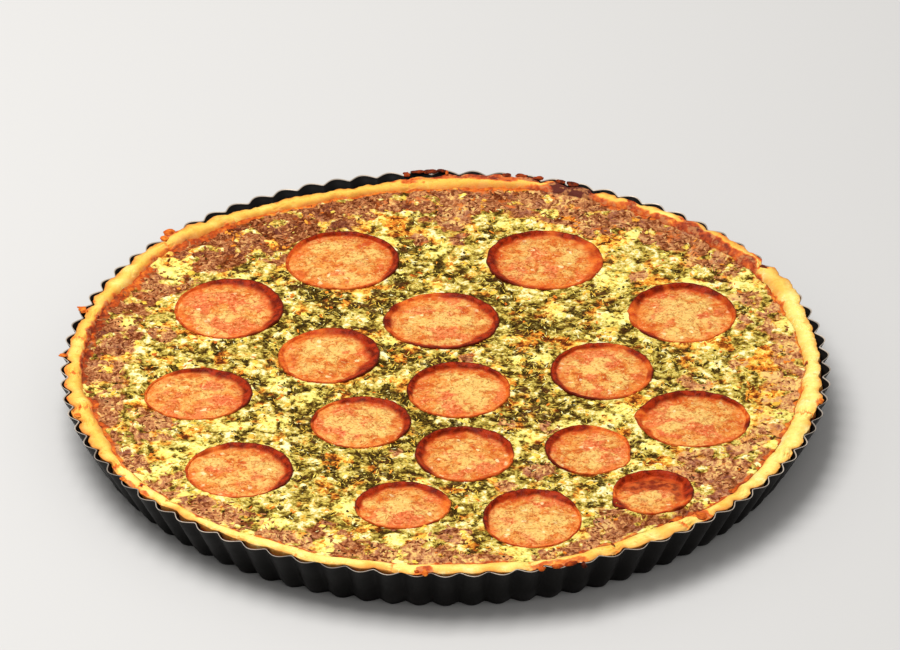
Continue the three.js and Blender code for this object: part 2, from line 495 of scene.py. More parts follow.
def skin(name, rings, finish, painted):
    """One closed body over rings of points, from the middle of its underside to its top."""
    count, steps = rings.shape[:2]
    faces = []
    for ring in range(count - 1):
        faces += hoop(ring * steps, (ring + 1) * steps, steps)
    faces += lid(0, count * steps, steps, facing_up=False)
    faces += lid((count - 1) * steps, count * steps + 1, steps)
    middles = [rings[end].mean(axis=0) for end in (0, -1)]
    painted = {
        label: np.append(values.ravel(), [values[end].mean() for end in (0, -1)])
        for label, values in painted.items()
    }
    points = np.concatenate([rings.reshape(-1, 3), middles])
    return new_piece(name, points, faces, finish, painted)


angles = np.linspace(0, 2 * math.pi, steps_round, endpoint=False)
ways = np.stack([np.cos(angles), np.sin(angles), 0 * angles], 1)
rim_points = rim_radius * ways
flute_inset = flute_depth * (1 - np.abs(np.cos(flute_count * angles / 2)))
slump = hill(angles, slump_middle, slump_spread)


def tin_inside(level):
    """The radius of the dough where it lies against the tin, at a height."""
    return base_radius + wall_flare * level / tin_height - flute_inset - sheet - gap


def round_ring(radius, level):
    """One ring of points, at a radius and a height that may change on the way round."""
    return np.stack([radius * ways[:, 0], radius * ways[:, 1], level + 0 * angles], 1)


crest = crest_level - slump_drop * slump
crest += 0.22 * mm * np.sin(3 * angles + 1) + 0.15 * mm * np.sin(8 * angles + 2)
crest += 0.5 * mm * lumps(rim_points, 17 * mm, 3.1)
lip = crest - lip_drop
shoulder = crest - shoulder_drop
edge = round_rim(outer_edges, angles) * mm + flute_trace * (0.6 * flute_depth - flute_inset)
edge += 0.6 * mm * lumps(rim_points, 24 * mm, 7.7)
edge += 0.45 * mm * lumps(rim_points, 6 * mm, 2.7)
edge += 0.35 * mm * lumps(rim_points, 2.4 * mm, 5.3)
for where, spread, outwards in edge_steps:
    edge += outwards * mm * hill(angles, where, spread)
# Where the dough stands above the tin it laps over the creases, and elsewhere it stays inside
lapping = swell(lip, tin_height - 0.25 * mm, tin_height + 0.05 * mm)
edge = np.minimum(edge, tin_inside(lip)) * (1 - lapping) + edge * lapping
pale_start = round_rim(pale_starts, angles) * mm
pale_start += 1.0 * mm * lumps(rim_points, 8 * mm, 61.3)
for where, spread, outwards in pale_steps:
    pale_start += outwards * mm * hill(angles, where, spread)
inner = np.clip(pale_start - 0.5 * mm, narrowest_inside, widest_inside)
inner += 0.5 * mm * lumps(rim_points, 5 * mm, 81.3)
brim = np.minimum(filling_edge, crest - brim_drop)

# Rings of points under the floor, up against the tin, over the rim and down the inside
rings = [
    round_ring(hidden_radius, case_underside),
    round_ring(tin_inside(case_underside) - 0.5 * mm, case_underside),
]
for share in (0.15, 0.4, 0.65, 1):
    level = case_underside + share * (shoulder - case_underside)
    leaning = swell(share, 0.3, 1.0)
    against = np.minimum(tin_inside(level), edge + 0.3 * mm)
    rings.append(round_ring(tin_inside(level) * (1 - leaning) + against * leaning, level))
tuck_level = np.minimum(lip - 0.3 * mm, tin_height - 0.15 * mm)
rings.append(round_ring(np.minimum(edge - 0.15 * mm, tin_inside(tuck_level)), tuck_level))
bottom_rows = len(rings)
for step in range(rise_steps + 1):
    share = step / rise_steps
    over = 1 - abs(2 * share ** 0.9 - 1) ** 2.6
    foot = lip * (1 - share) + (brim - 0.7 * mm) * share
    rings.append(round_ring(edge + (inner - edge) * share ** 1.1, foot + (crest - foot) * over))
for share in (0.6, 0.0):
    level = case_floor + share * (filling_edge - case_floor)
    rings.append(round_ring(inner_floor + share * (inner - inner_floor), level))
rings.append(round_ring(hidden_radius, case_floor))

case_rings = np.array(rings)
shown = np.zeros((len(rings), 1))
shown[bottom_rows:bottom_rows + rise_steps + 1, 0] = 1
shown[bottom_rows - 1, 0] = 0.5
coarse = lumps(case_rings, 7.5 * mm, 1.3)
medium = lumps(case_rings, 3.2 * mm, 5.9)
fine = lumps(case_rings, 1.3 * mm, 9.2)
# The lumps of hand-pressed dough push the crest up and its flanks outwards
case_rings[:, :, 2] += shown * mm * (0.4 * coarse + 0.3 * medium + 0.14 * fine)
rows = np.arange(len(rings))[:, None] + 0 * angles
across_rim = np.clip((rows - bottom_rows) / rise_steps, 0, 1)
sideways = shown * mm * (0.4 * medium + 0.16 * fine) * (1 - 0.8 * swell(across_rim, 0.5, 0.8))
case_rings += sideways[:, :, None] * ways
for where, depth, spread in cracks:
    wander = 0.012 * np.sin(0.9 * rows + where)
    case_rings[:, :, 2] -= shown * depth * mm * hill(angles + wander, where, spread)

# How toasted it is, and where filling has stained it: inside the rim, where it ran over, in
# small burnt spots and along the cracks
hidden = (rows < bottom_rows - 1) | (rows > bottom_rows + rise_steps)
toasted = round_rim(toasting, angles) + 0.5 * coarse + 0.6 * lumps(case_rings, 11 * mm, 21.0)
from_axis = np.hypot(case_rings[:, :, 0], case_rings[:, :, 1])
straying = mm * (1.1 * coarse + 0.8 * medium)
stain = swell(pale_start + straying - from_axis, -0.9 * mm, 1.2 * mm)
stain *= round_rim(edge_darkness, angles)
drifting = angles + math.radians(1.6) * (coarse + 0.8 * medium)
for where, spread, start, dark in overflows:
    covered = swell(from_axis + straying, (start - 0.8) * mm, (start + 0.7) * mm)
    stain = np.maximum(stain, dark * covered * swell(hill(drifting, where, spread), 0.15, 0.6))
spotted = near(case_rings, burnt_spots) + 0.5 * medium + 0.3 * fine
stain = np.maximum(stain, 0.85 * swell(spotted, 0.35, 0.95))
cracked = sum(min(depth, 1) * hill(angles, where, 0.8 * spread) for where, depth, spread in cracks)
stain = np.maximum(stain, 0.4 * cracked)

crust, dough = new_finish("baked_short_pastry")
place = dough.coordinates()
cloud = dough.noise(place, 5 * mm, detail=4)
speckle = dough.noise(place, 0.9 * mm, roughness=0.6)
# Paler along the crest and browner at the rim's edges: partly how it baked, partly a painted
# highlight along the crest
across_bake_and_highlight = dough.painted("across_rim") + 0.35 * (cloud - 0.5)
pale_gold = dough.ramp(
    across_bake_and_highlight, (0.0, 226, 154, 66), (0.1, 240, 190, 92), (0.22, 246, 222, 114), (0.42, 246, 234, 130),
    (0.66, 242, 221, 116), (0.86, 238, 198, 94), (1.0, 230, 164, 70),
)
deep_gold = dough.ramp(
    across_bake_and_highlight, (0.0, 198, 110, 38), (0.14, 224, 150, 56), (0.3, 234, 178, 66), (0.5, 240, 198, 82),
    (0.72, 234, 180, 68), (0.88, 220, 144, 52), (1.0, 206, 102, 36),
)
crispness = dough.rise(dough.painted("toasted") + 1.8 * (cloud - 0.5), 0.1, 0.9)
golden = dough.mix(crispness, pale_gold, deep_gold)
blush = dough.rise(dough.noise(place, 3.2 * mm, detail=4, roughness=0.6), 0.52, 0.7)
heat = 0.2 + 0.3 * dough.rise(dough.painted("toasted"), 0.2, 0.8)
blushed = dough.mix(blush * heat, golden, shade(240, 172, 70))
freckled = dough.mix(dough.rise(speckle, 0.55, 0.7) * heat, blushed, shade(228, 142, 54))
# Pale creamy patches where the rim is least toasted: partly flour, partly painted highlights
flour_and_sheen = dough.rise(speckle, 0.47, 0.32) * 0.4 + 0.5 * dough.rise(cloud, 0.52, 0.66)
untoasted = 1 - 0.85 * dough.rise(dough.painted("toasted"), 0.1, 0.7)
chalky_and_sheen = dough.mix(flour_and_sheen * untoasted, freckled, shade(252, 246, 172))
burnt_stops = [
    (0.15, 248, 176, 66), (0.35, 234, 128, 42), (0.52, 200, 84, 26), (0.68, 150, 52, 18),
    (0.85, 92, 30, 14),
]
mottle = dough.noise(place, 2.2 * mm)
burnt_on = dough.painted("stain") + 0.9 * (mottle - 0.5) + 0.5 * (speckle - 0.5)
patches = dough.rise(dough.noise(place, 1.6 * mm, roughness=0.6), 0.5, 0.62)
burnt_colour = dough.mix(patches * 0.6, dough.ramp(burnt_on, *burnt_stops), shade(212, 142, 84))
stained = dough.mix(dough.rise(burnt_on, 0.14, 0.36), chalky_and_sheen, burnt_colour)
dough.surface(
    Base_Color=stained,
    Specular_IOR_Level=0.25,
    Roughness=0.6 + 0.25 * speckle,
    Normal=dough.bump(speckle + 0.8 * cloud, 0.6, 0.4 * mm),
    Subsurface_Weight=0.08,
    Subsurface_Scale=1.2 * mm,
)
# Where the dough lies against the tin or under the filling it is dark: browned against the tin, and
# partly painted shade in the gaps by the flutes
baked_case = skin("baked_case", case_rings, crust, {
    "across_rim": np.where(hidden, 0.0, across_rim),
    "toasted": np.where(hidden, 1.0, toasted),
    "stain": np.where(hidden, 0.6, stain),
})
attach(baked_case, "root")
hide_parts("pastry_case")


# Sausage slices: cut from a thick smoked sausage and laid on before baking. The dark skin has
# drawn tight and curled up, most on one side, and the meat between has baked orange and dished.
slice_height = 4.6 * mm
slice_steps = 144
meat_rings = 24
first_ring_seen = 6
skin_inside = 0.965
narrowest_skin = 0.015
fully_curled_skin = 0.06
slice_names = sorted(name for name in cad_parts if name.startswith("sausage_slice"))
# For each slice: the way its skin is widest and darkest, in degrees, that dark partly painted
# shade; how wide the skin shows there and across from it, as shares of the radius; how deep it
# has dished, in mm; how browned it is all over; how uneven its outline is; how much fat has pooled
# in its middle
slice_looks = [
    (62, 0.09, 0.03, 0.8, 0.05, 0.6, 0.7), (168, 0.16, 0.07, 1.0, 0.15, 0.5, 0.3),
    (22, 0.21, 0.03, 0.9, 0.05, 0.5, 0.7), (100, 0.13, 0.03, 1.3, 0.05, 0.7, 0.9),
    (15, 0.13, 0.07, 0.9, 0.05, 0.6, 0.6), (8, 0.27, 0.05, 1.0, 0.10, 0.7, 0.8),
    (200, 0.09, 0.06, 0.8, 0.05, 0.7, 0.7), (38, 0.18, 0.01, 0.8, 0.10, 0.9, 0.5),
    (100, 0.14, 0.03, 1.1, 0.05, 0.5, 1.1), (105, 0.14, 0.02, 1.1, 0.10, 0.9, 0.8),
    (38, 0.20, 0.02, 0.9, 0.15, 0.8, 1.1), (95, 0.17, 0.06, 1.3, 0.10, 0.5, 0.7),
    (165, 0.13, 0.03, 0.7, 0.05, 1.2, 0.7), (25, 0.15, 0.02, 0.9, 0.10, 0.6, 1.2),
    (80, 0.17, 0.09, 1.5, 1.0, 1.3, 0.6), (95, 0.15, 0.03, 0.9, 0.10, 0.7, 0.9),
    (100, 0.15, 0.01, 1.0, 0.10, 0.9, 1.3),
]
# For each slice, other dark or light bands, corners, flaps and gaps in its edge: the way and
# spread in degrees, how far its outline and its skin's width change there, and how dark it is,
# partly painted shade
edge_marks = {
    1: [(262, 7, -0.02, -0.2, 0), (300, 16, 0.01, 0.06, 0.2), (5, 14, 0, 0.05, 0.9),
        (335, 14, 0, 0.1, 0.7), (150, 14, 0, 0.08, 0.6)],
    2: [(115, 20, 0, 0.03, 0.9), (10, 26, 0, 0.16, 0.5), (270, 18, 0, 0.08, 0.4),
        (60, 16, 0, 0.05, 0.8), (330, 14, 0, 0.08, 0.4)],
    3: [(80, 22, 0, 0.06, 0.9), (120, 14, 0, 0.05, 0.6), (352, 12, 0.01, 0.05, 0.8),
        (305, 20, 0, 0.07, 0.4)],
    4: [(180, 24, 0.01, 0.13, 0.1), (228, 12, 0.01, 0.14, 1.0), (108, 6, 0, -0.05, 0.4),
        (20, 26, 0, 0.06, 0.6), (62, 14, 0, 0.06, 0.9)],
    5: [(182, 14, 0.02, 0.08, 0.9), (150, 12, 0, 0.08, 0.6), (28, 14, 0, 0.08, 0.9),
        (260, 30, 0, 0.07, 0.8), (318, 22, 0, 0.09, 0.8)],
    6: [(340, 16, 0.01, 0.06, 1.0), (95, 16, 0, 0.1, 0.5), (190, 22, 0, 0.09, 0.2),
        (300, 18, 0, 0.06, 0.8)],
    7: [(100, 25, 0, 0.06, 0.8), (40, 20, 0, 0.07, 0.9), (0, 20, 0, 0.05, 0.6),
        (265, 22, 0, 0.06, 0.6), (200, 30, 0, 0.04, 0.8)],
    8: [(350, 14, 0, 0.08, 0.9), (62, 12, 0, 0.08, 0.9)],
    9: [(172, 18, 0.01, 0.07, 0.9), (20, 16, 0.01, 0.06, 0.2), (270, 20, 0, 0.05, 0.2)],
    10: [(172, 10, 0.05, 0.16, 0), (205, 12, -0.02, 0.12, 0.5), (145, 14, 0, 0.12, 1.0),
        (350, 14, 0, 0.04, 0.7), (115, 14, 0, 0.08, 0.9)],
    11: [(100, 16, 0, 0.06, 0.9), (165, 14, 0, 0.02, 0.8)],
    12: [(20, 22, 0, 0.07, 0.8), (172, 22, 0, 0.11, 0.9), (215, 15, 0, 0.12, 0.8),
        (60, 14, 0, 0.06, 0.9), (300, 18, 0, 0.08, 0.5)],
    13: [(32, 11, 0.04, 0.03, 0.1), (330, 12, 0.05, 0, 0), (0, 14, -0.03, 0, 0),
        (100, 12, 0.02, 0.14, 0.8), (148, 12, 0, 0.12, 0.9)],
    14: [(95, 22, 0, 0.08, 0.9), (335, 16, 0, 0.11, 0.9), (130, 14, 0, 0.06, 0.6),
        (212, 12, 0, 0.06, 0.3)],
    15: [(212, 15, 0.12, 0.2, 1.0), (305, 22, -0.05, 0.16, 0.6), (0, 24, 0, 0.2, 0.9)],
    16: [(175, 14, 0, 0.06, 1.0), (8, 18, 0.02, 0.13, 0.4), (42, 16, 0, 0.08, 0.8),
        (140, 16, 0, 0.08, 0.9), (305, 14, 0, 0.07, 0.3)],
    17: [(185, 20, 0, 0.06, 0.9), (60, 14, 0.02, 0.06, 0.9)],
}


def resting_place(name):
    """The middle of a slice's rim, its half width and depth, and its own axes as it leans."""
    low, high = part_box(name)
    points = np.array([vertex.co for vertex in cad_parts[name].data.vertices])
    spread = np.linalg.eigh(np.cov((points - points.mean(axis=0)).T))[1]
    up = spread[:, 0] * np.sign(spread[2, 0])
    side = np.array([1.0, 0, 0]) - up[0] * up
    side /= np.linalg.norm(side)
    middle = np.array([(low.x + high.x) / 2, (low.y + high.y) / 2, (low.z + high.z) / 2])
    middle[2] += slice_height / 2
    return middle, (high.x - low.x) / 2, (high.y - low.y) / 2, side, np.cross(up, side), up


def slice_rings(number, place, look):
    """The rings of one slice from the middle of its underside, and what is painted on it."""
    dark_shaded_way, wide, narrow, dish, browning, uneven, fatness = look
    middle, half_width, half_depth, side, back, up = place
    seed = 7.3 * number
    turns = np.linspace(0, 2 * math.pi, slice_steps, endpoint=False)
    ring_way = np.stack([np.cos(turns), np.sin(turns), 0 * turns], 1)
    far = 0.5 + 0.5 * np.cos(turns - math.radians(dark_shaded_way))
    outline = 1 - 0.012 * uneven + 0.026 * uneven * lumps(ring_way, 0.8, seed)
    outline += 0.018 * lumps(ring_way, 0.2, seed) + 0.012 * lumps(ring_way, 0.1, seed + 13)
    width = narrow + (wide - narrow) * far ** 2.5
    width *= 1 + 0.5 * lumps(ring_way, 0.4, seed + 9) + 0.3 * lumps(ring_way, 0.15, seed + 11)
    dark_shaded_round = swell(far, 0.35, 0.9)
    for way, spread, outwards, wider, dark in edge_marks[number]:
        here = hill(turns, way, spread)
        outline += outwards * here
        width += wider * here
        dark_shaded_round = dark_shaded_round * (1 - here) + dark * here
    width = np.maximum(width, narrowest_skin)
    curl = mm * (0.05 + 0.4 * dark_shaded_round + 0.3 * lumps(ring_way, 0.45, seed + 5))
    curl *= np.clip(width / fully_curled_skin, 0, 1)
    floor = -dish * mm * (0.75 + 0.25 * far)
    skin_top = curl - 0.08 * mm
    # Under the slice, up its side and over the curled skin: radius, height and share of skin
    rings = [
        (0.4, -slice_height, 0), (0.8, -slice_height, 0.3), (0.9, -0.88 * slice_height, 1),
        (0.97, -0.5 * slice_height, 1), (1.0, curl - 0.3 * slice_height, 1),
        (1.0, curl - 0.35 * mm, 1), (0.993, curl - 0.1 * mm, 1), (0.98, curl, 1),
        (skin_inside, skin_top, 1),
    ]
    for share in (0.08, 0.2, 0.35, 0.5, 0.65, 0.8, 0.9, 1.0):
        fall = (math.sin(math.pi * (share - 0.5)) + 1) / 2
        level = skin_top + (floor - skin_top) * fall
        rings.append((skin_inside - width * share, level, 1 - 0.7 * share ** 2))
    for step in range(1, meat_rings + 1):
        share = step / (meat_rings + 1)
        dome = 0.55 * dish * mm * (1 - (1 - share) ** 2)
        level = floor * (1 - share) - dish * mm * 0.8 * share + dome
        rings.append(((skin_inside - width) * (1 - share), level, 0.3 * max(0, 1 - share / 0.3)))
    rings.append((0.02, -dish * mm * 0.25, 0))
    radii, levels, skins = (
        np.array([value + 0 * turns for value in column]) for column in zip(*rings)
    )
    radii *= 1 + (outline - 1) * swell(radii, 0.2, 0.9)
    across, deep = radii * np.cos(turns) * half_width, radii * np.sin(turns) * half_depth
    flat = np.stack([across, deep, levels], 2)
    spots = flat + middle
    groove = swell(np.abs(lumps(spots, 6 * mm, seed + 2)), 0.07, 0.0)
    groove *= swell(lumps(spots, 8 * mm, seed + 4), -0.05, 0.2)
    mince = 0.3 * lumps(spots, 3.4 * mm, seed) + 0.18 * lumps(spots, 1.6 * mm, seed) - 0.22 * groove
    wrinkles = 0.15 * lumps(spots, 3.6 * mm, seed + 3) + 0.06 * lumps(spots, 2.0 * mm, seed)
    wrinkles *= 1 + 1.6 * browning
    relief = mince * (1 - skins) + wrinkles
    flat[first_ring_seen:, :, 2] += relief[first_ring_seen:] * mm
    laid = middle + flat[:, :, :1] * side + flat[:, :, 1:2] * back + flat[:, :, 2:] * up
    towards = across * math.cos(math.radians(dark_shaded_way)) / half_width
    towards += deep * math.sin(math.radians(dark_shaded_way)) / half_depth
    patchy = lumps(spots, 7 * mm, seed + 6)
    # How dark the skin is painted: partly its own colour, partly painted shade on the curled rim
    skin_dark_and_shade = dark_shaded_round * swell(radii, 0.5, 0.85) + 0.35 * patchy
    return laid, {
        "skin": skins,
        "outline": swell(radii / np.maximum(outline, 0.5), 0.955, 0.985),
        "dark": np.clip(skin_dark_and_shade, 0, 1),
        "browning": browning * (0.1 + 0.9 * swell(towards + 0.7 * patchy, -0.15, 0.22)),
        "groove": groove,
        "fatness": fatness * (1.15 - radii),
    }


sausage, meat = new_finish("smoked_sausage")
place = meat.coordinates()
bent = meat.wavering(place, 330.0, 3.5 * mm)
blotches = meat.noise(bent, 2.8 * mm, roughness=0.6)
mince = meat.ramp(
    blotches, (0.32, 186, 70, 20), (0.41, 214, 108, 38), (0.48, 224, 140, 59),
    (0.56, 228, 160, 78), (0.66, 236, 190, 106),
)
aside = meat.vector("ADD", bent, (0.31, 0.17, 0.05))
rosiness = meat.rise(meat.noise(place, 7 * mm), 0.5, 0.6)
rosy = meat.mix(rosiness * 0.7, mince, shade(230, 112, 70))
oily = meat.noise(aside, 5.5 * mm, roughness=0.6) + 0.16 * meat.painted("fatness")
pooled = meat.rise(oily, 0.56, 0.68)
fatty = meat.mix(pooled * 0.8, rosy, shade(238, 200, 110))
fine_grain = meat.noise(bent, 0.7 * mm, roughness=0.6)
flecks = meat.rise(fine_grain, 0.52, 0.64) * (0.9 - 0.35 * pooled)
flecked = meat.mix(flecks, fatty, shade(184, 76, 20))
# Pale specks over the meat: painted glints
painted_glints = meat.mix(meat.rise(fine_grain, 0.46, 0.34) * 0.6, flecked, shade(250, 212, 132))
fat = meat.grains(bent, 3.4 * mm, 0.3, 0.18, 0.82, 0.86)
marbled = meat.mix(fat * 0.7, painted_glints, shade(255, 236, 176))
pepper = meat.grains(place, 1.7 * mm, 0.32, 0.16, 0.84, 0.9)
winding = meat.sum("ABSOLUTE", meat.noise(aside, 2.6 * mm, detail=2.5, roughness=0.6) - 0.5, 0)
seams = meat.rise(winding, 0.024, 0.006) * meat.rise(meat.noise(place, 2.4 * mm), 0.45, 0.52)
grooved = meat.mix(meat.painted("groove") * 0.6, marbled, shade(196, 88, 30))
creased = meat.mix(seams * 0.65, grooved, shade(186, 96, 32))
peppered = meat.mix(pepper * 0.45, creased, shade(156, 80, 24))
streaks = meat.noise(bent, 1.8 * mm)
seared = meat.mix(meat.rise(streaks, 0.36, 0.66), shade(126, 30, 8), shade(204, 90, 36))
browner = meat.rise(meat.painted("browning") + 0.9 * (blotches - 0.5), 0.1, 0.75)
baked_meat = meat.mix(browner * 0.95, peppered, seared)
streaky = meat.rise(streaks, 0.35, 0.65)
# Lighter and darker skin: the dark side is partly the skin's own colour, partly painted shade on
# the curled rim's inner wall
light_and_lit_skin = meat.mix(streaky, shade(192, 64, 14), shade(236, 120, 42))
dark_and_shaded_skin = meat.mix(streaky, shade(106, 20, 0), shade(170, 48, 8))
skin_dark_and_shade = meat.rise(meat.painted("dark") + 0.5 * (streaks - 0.5), 0.2, 0.7)
casing = meat.mix(skin_dark_and_shade, light_and_lit_skin, dark_and_shaded_skin)
# The skin darker along its very outline, most on its dark side
dark_outline = meat.mix(meat.painted("outline") * (0.35 + 0.5 * skin_dark_and_shade), casing, shade(84, 20, 4))
skin_share = meat.painted("skin") + 0.5 * (streaks - 0.5)
red = meat.mix(skin_dark_and_shade, shade(232, 112, 42), shade(204, 70, 22))
reddened = meat.mix(meat.rise(skin_share, 0.0, 0.45) * 0.65, baked_meat, red)
on_skin = meat.rise(skin_share, 0.36, 0.82)
meat.surface(
    Base_Color=meat.mix(on_skin, reddened, dark_outline),
    Roughness=0.48 - 0.1 * on_skin + 0.3 * (fine_grain - 0.5),
    Specular_IOR_Level=0.06,
    Normal=meat.bump(fine_grain + 1.2 * blotches - 0.6 * pepper - 0.5 * seams, 0.6, 0.45 * mm),
    Subsurface_Weight=0.06,
    Subsurface_Scale=1.2 * mm,
)
slices = []
for number, (name, look) in enumerate(zip(slice_names, slice_looks), 1):
    slices.append(resting_place(name))
    laid, painted = slice_rings(number, slices[-1], look)
    disc = skin(name.replace("slice", "disc"), laid, sausage, painted)
    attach(disc, "root")
    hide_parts(name)


# Filling: eggs, cheese, onion and chopped herbs, poured in and set by the heat. It has baked
# in curds, browned in from the crust, most at the back, and it clings to the edge of each slice.
filling_level = 18.5 * mm
filling_swell = 0.45 * mm
filling_foot = case_floor + 0.3 * mm
pocket_share = 0.955
pocket_room = 0.5 * mm
under_crust = 0.5 * mm
foot_radius = inner_floor - 0.5 * mm
clear_of_slice = 0.3 * mm
clear_of_crust = 1.5 * mm
plate_rings = 152
# Every 15 degrees round from the right, in mm: the radius at which browning begins, and how far
# in from the rim the filling has baked orange to red-brown
browning_starts = [
    117, 117, 119, 121, 108, 110, 112, 109, 106, 107, 114, 117,
    115, 120, 124, 119, 116, 117, 118, 126, 114, 104, 107, 115,
]
edge_widths = [
    0.4, 1.0, 2.0, 3.6, 3.6, 2.8, 1.4, 1.2, 1.4, 3.6, 3.4, 5.2,
    2.4, 2.0, 1.2, 1.2, 2.0, 2.2, 1.6, 1.4, 1.2, 1.8, 2.0, 1.2,
]
# In the same steps, how dark the browned parts are
scorching = [
    -0.2, 0.0, 0.3, 0.45, 0.6, 0.6, 0.65, 0.9, 1.3, 1.2, 0.9, 0.8,
    0.75, 0.7, 0.6, 0.5, 0.4, 0.4, 0.4, 0.5, 0.5, 0.5, 0.3, -0.1,
]
# Every 30 degrees, how strongly orange fat glows through the browned parts
glows = [0.6, 0.6, 1.1, 0.9, 0.7, 0.3, 0.1, 0.1, 0.3, 0.5, 0.2, 0.8]
# Single browned patches: middle and radius in mm, and strength
browned_patches = [
    (-107, -35, 11, 1.0), (-101, -81, 8, 0.7), (-37, -114, 10, 0.8), (-45, -106, 8, 0.8),
    (-52, -112, 9, 0.7), (4, -127, 7, 0.8), (61, -101, 12, 0.9), (60, -112, 8, 0.7),
    (94, 83, 10, 0.9), (-86, 79, 10, 1.0), (126, -20, 6, 0.8), (92, -62, 7, 0.7),
    (88, -92, 12, 0.9), (-30, -122, 8, 0.8), (70, 66, 5, 0.7), (-6, 107, 4, 0.8),
    (3, -111, 8, 0.9), (91, -7, 7, 1.1), (33, -66, 7, 0.8), (7, 93, 6, 0.8),
    (21, -78, 6, 0.7), (106, 34, 7, 1.0), (36, -37, 5, 0.7), (8, 8, 5, 0.7),
    (-64, 78, 6, 0.8), (-20, -52, 5, 0.7), (22, -36, 5, 0.7), (105, 6, 6, 0.9),
    (-21, -104, 6, 0.8), (-104, 26, 7, 0.9), (2, 106, 9, 1.0), (-9, 92, 5, 0.8),
]
# Patches of pale cheese: middle and radius in mm
pale_patches = [
    (-101, 70, 7), (68, 94, 5), (61, 63, 9), (39, 110, 5), (40, 42, 5), (29, -45, 6),
    (-62, -35, 6), (-20, 22, 4), (66, -62, 5), (-50, -18, 7), (35, 9, 6), (-77, -36, 6),
    (62, -28, 9), (45, -37, 6), (74, -50, 5), (-90, -50, 6), (-62, -102, 6), (-1, 88, 4),
    (25, 7, 4), (-98, -56, 6), (-5, 84, 6), (-18, -112, 5), (-78, 63, 7), (-115, 35, 6),
    (25, -122, 7), (-90, -62, 7), (48, -108, 6), (62, 37, 7), (91, 62, 7), (-50, -5, 5),
    (22, 104, 5), (-36, -91, 6), (-21, 91, 5), (-62, -6, 6),
]
# Tongues of pale cheese that run in from the rim: where and how wide in degrees, and how far in
# they reach, in mm from the middle
pale_tongues = [
    (15, 3.5, 124), (30, 4, 122), (143, 3, 118), (186, 2, 124), (213, 2.5, 118),
    (222, 1.5, 123), (237, 3, 127), (262.5, 1, 121), (283, 2.5, 126), (304, 2.5, 127),
    (328, 1, 127), (337, 1.5, 125), (347, 1.6, 117), (250, 2, 119),
]
# Patches of orange fat, given the same way
orange_patches = [
    (32, 24, 6), (-16, 11, 4), (-40, -60, 5), (-98, 82, 6), (-90, 26, 6), (100, 20, 5),
    (62, 92, 6), (70, -20, 6), (77, -62, 5), (75, 110, 5), (-120, 10, 4), (46, 108, 5),
    (118, 8, 8), (117, -14, 7), (-63, 90, 6), (-78, 96, 5), (-46, 112, 5), (10, 118, 6),
    (-20, 106, 5), (77, 62, 5), (21, -7, 4), (49, 104, 5), (-50, 104, 5),
]
# Patches thick with herbs, given the same way
herb_patches = [
    (25, 29, 11), (34, -24, 10), (-20, 50, 6), (-50, -58, 9), (-4, 8, 7), (-8, -30, 6),
    (66, 20, 7), (-46, 52, 6), (22, 62, 8), (-35, -70, 8), (14, -118, 6), (46, -118, 7),
    (85, 0, 7), (-20, 17, 6), (-50, -38, 6), (-104, 8, 6), (21, -76, 6), (-20, -9, 4),
    (-22, -66, 7),
]
# How strongly cheese clings round each slice, in their order
clinging = [0.3, 0.7, 0.3, 1.0, 0.3, 0.4, 0.3, 0.5, 0.3, 0.8, 0.3, 0.3, 0.4, 0.9, 1.0, 0.3, 0.4]


def plate(rings):
    """A flat round plate of even triangles with a radius of 1, ring after ring."""
    points = [(0.0, 0.0)]
    faces = []
    for ring in range(1, rings + 1):
        inside = len(points) - max(6 * (ring - 1), 1)
        outside = len(points)
        for step in range(6 * ring):
            turn = 2 * math.pi * step / (6 * ring)
            points.append((ring / rings * math.cos(turn), ring / rings * math.sin(turn)))
        for step in range(6 * ring):
            sector, rest = divmod(step, ring)
            inner_count = max(6 * (ring - 1), 1)
            inner_here = inside + (sector * (ring - 1) + rest) % inner_count
            outer_here = outside + step
            outer_next = outside + (step + 1) % (6 * ring)
            faces.append((inner_here, outer_here, outer_next))
            if rest < ring - 1:
                inner_next = inside + (sector * (ring - 1) + rest + 1) % inner_count
                faces.append((inner_here, outer_next, inner_next))
    return np.array(points), faces


disc_points, disc_faces = plate(plate_rings)
turns = np.arctan2(disc_points[:, 1], disc_points[:, 0])
reach = round_rim(inner, turns) + under_crust
spots = np.column_stack([disc_points * reach[:, None], 0 * turns])
from_middle = np.hypot(spots[:, 0], spots[:, 1])
x, y = spots[:, 0] / mm, spots[:, 1] / mm
to_crust = reach - from_middle
to_pale = round_rim(pale_start, turns) - from_middle

# Round each slice the cheese clings and the top meets the slice's rim, and under it is a pocket
slice_gap = np.full(len(spots), 1.0)
cling = np.zeros(len(spots))
pocket = np.full(len(spots), 1.0)
beside_slice = np.zeros(len(spots))
slice_rim = np.zeros(len(spots))
sticking = swell(lumps(spots, 8 * mm, 17.0), -0.3, 0.2)
for (middle, half_width, half_depth, side, back, up), strength in zip(slices, clinging):
    far = np.hypot((spots[:, 0] - middle[0]) / half_width, (spots[:, 1] - middle[1]) / half_depth)
    away = (far - 1) * half_width
    slice_gap = np.minimum(slice_gap, np.where(far > 0.9, away, -1))
    cling = np.maximum(cling, strength * sticking * np.exp(-((away / (1.5 * mm)) ** 2)))
    closeness = swell(away, 2.2 * mm, 0.4 * mm)
    leaning = (spots[:, 0] - middle[0]) * up[0] + (spots[:, 1] - middle[1]) * up[1]
    slice_rim = np.where(closeness > beside_slice, middle[2] - leaning / up[2], slice_rim)
    beside_slice = np.maximum(beside_slice, closeness)
    pocket = np.where(far < pocket_share, middle[2] - slice_height - pocket_room, pocket)

